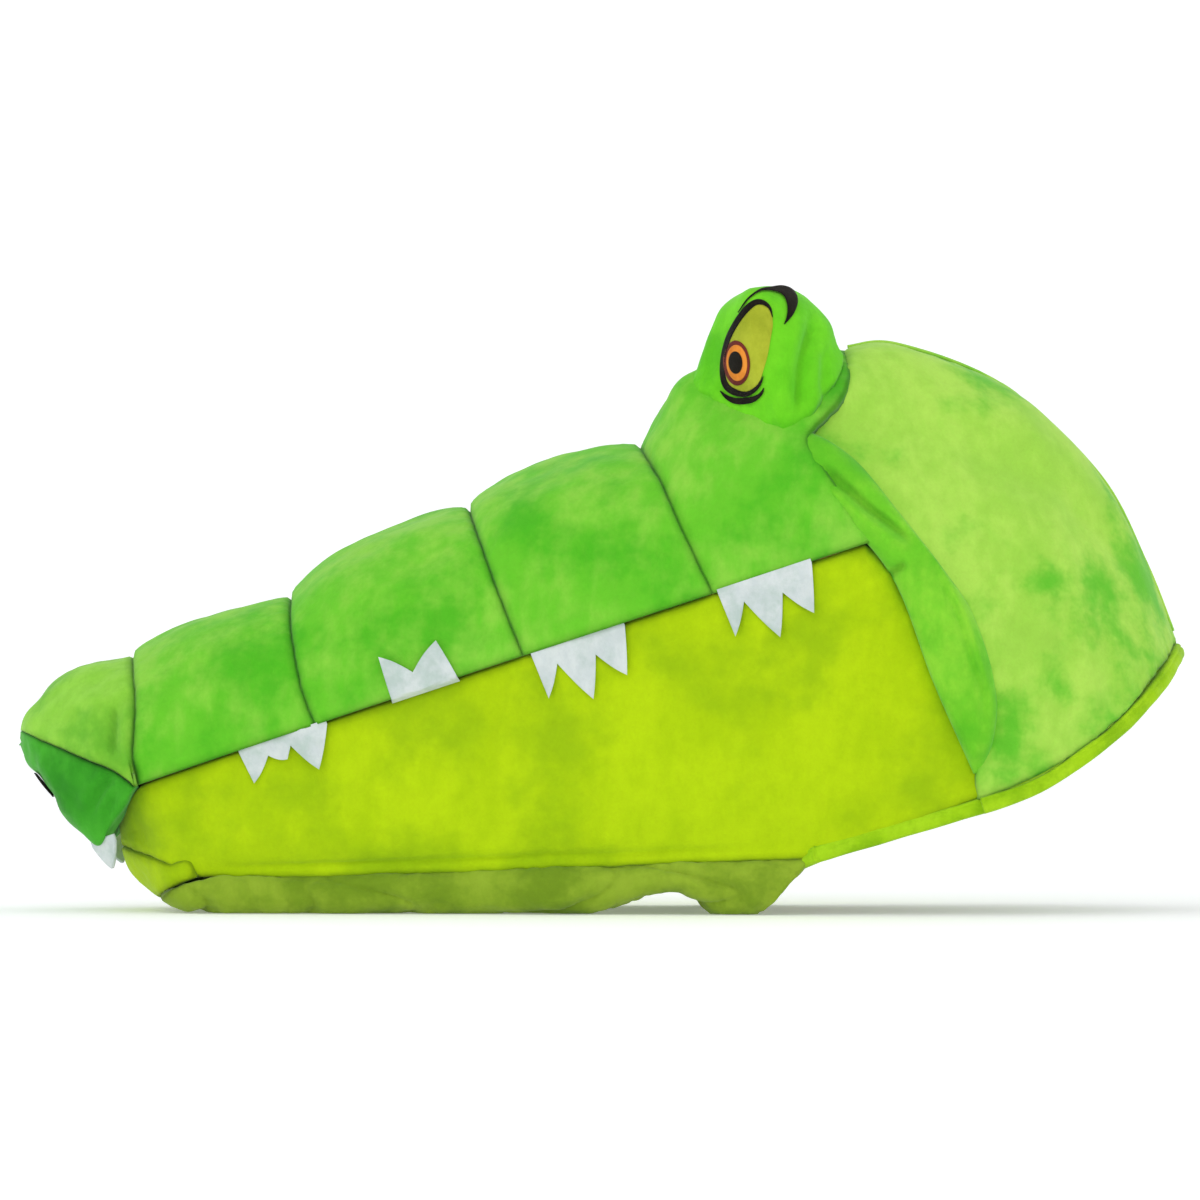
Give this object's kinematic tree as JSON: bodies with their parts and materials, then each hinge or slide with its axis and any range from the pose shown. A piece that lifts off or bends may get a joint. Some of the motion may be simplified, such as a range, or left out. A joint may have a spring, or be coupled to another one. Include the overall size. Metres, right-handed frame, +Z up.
{
  "type": "moving mouth puppet",
  "caption": "Plush crocodile-head hand puppet with a long quilted snout, raised eye mounds, felt teeth, an opening mouth and a hollow neck for the hand.",
  "frame": {"origin": "under the middle of the whole puppet, on the surface it rests on", "axes": "-X the way the snout points, -Y the crocodile's left side, +Z up"},
  "size_m": [0.4818, 0.1816, 0.2576],
  "materials": {
    "plush_light_green": "matte",
    "plush_deep_green": "matte",
    "plush_green": "matte",
    "plush_lime": "matte",
    "plush_lime_underside": "matte",
    "hem_binding": "matte",
    "white_felt": "matte",
    "black_felt": "matte",
    "eye_print_yellow": "matte",
    "eye_print_orange": "matte",
    "polyester_fill": "matte",
    "stiff_board": "matte",
    "tongue_felt": "matte",
    "mouth_fleece": "matte"
  },
  "bodies": {
    "jaw": {"jaw_side_left": "plush_lime", "jaw_side_right": "plush_lime", "chin_panel": "plush_lime", "jaw_underside": "plush_lime_underside", "lip_hem": "hem_binding", "lower_mouth_board": "stiff_board", "mouth_floor_lining": "mouth_fleece", "tongue": "tongue_felt", "thumb_pocket": "mouth_fleece", "jaw_stuffing": "polyester_fill", "lower_teeth_left": "white_felt", "lower_teeth_right": "white_felt", "cheek_gusset_left": "plush_lime", "cheek_gusset_right": "plush_lime", "gusset_hem_left": "hem_binding", "gusset_hem_right": "hem_binding"},
    "head": {"nose_cap": "plush_light_green", "nose_front_panel": "plush_deep_green", "nostril_left": "black_felt", "nostril_right": "black_felt", "snout_panel_1": "plush_green", "snout_panel_2": "plush_green", "snout_panel_3": "plush_green", "cheek_panel": "plush_green", "snout_stuffing": "polyester_fill", "upper_mouth_board": "stiff_board", "palate_lining": "mouth_fleece", "finger_pocket": "mouth_fleece", "crown_left": "plush_light_green", "crown_right": "plush_light_green", "crown_seam": "plush_green", "jowl_left": "plush_green", "jowl_right": "plush_green", "crown_hem": "hem_binding", "eye_mound_left": "plush_green", "eye_mound_right": "plush_green", "eye_white_left": "eye_print_yellow", "eye_white_right": "eye_print_yellow", "iris_left": "eye_print_orange", "iris_right": "eye_print_orange", "pupil_left": "black_felt", "pupil_right": "black_felt", "brow_mark_left": "black_felt", "brow_mark_right": "black_felt", "front_teeth": "white_felt", "upper_teeth_front_left": "white_felt", "upper_teeth_front_right": "white_felt", "upper_teeth_middle_left": "white_felt", "upper_teeth_middle_right": "white_felt", "upper_teeth_rear_left": "white_felt", "upper_teeth_rear_right": "white_felt"}
  },
  "joints": [
    {"name": "mouth_hinge", "type": "hinge", "parent": "jaw", "child": "head", "pos_m": [0.10104, 0, 0.14878], "axis": [0, 1, 0], "range_deg": [0, 30], "deforming": ["cheek_gusset_left", "cheek_gusset_right", "gusset_hem_left", "gusset_hem_right"]}
  ]
}
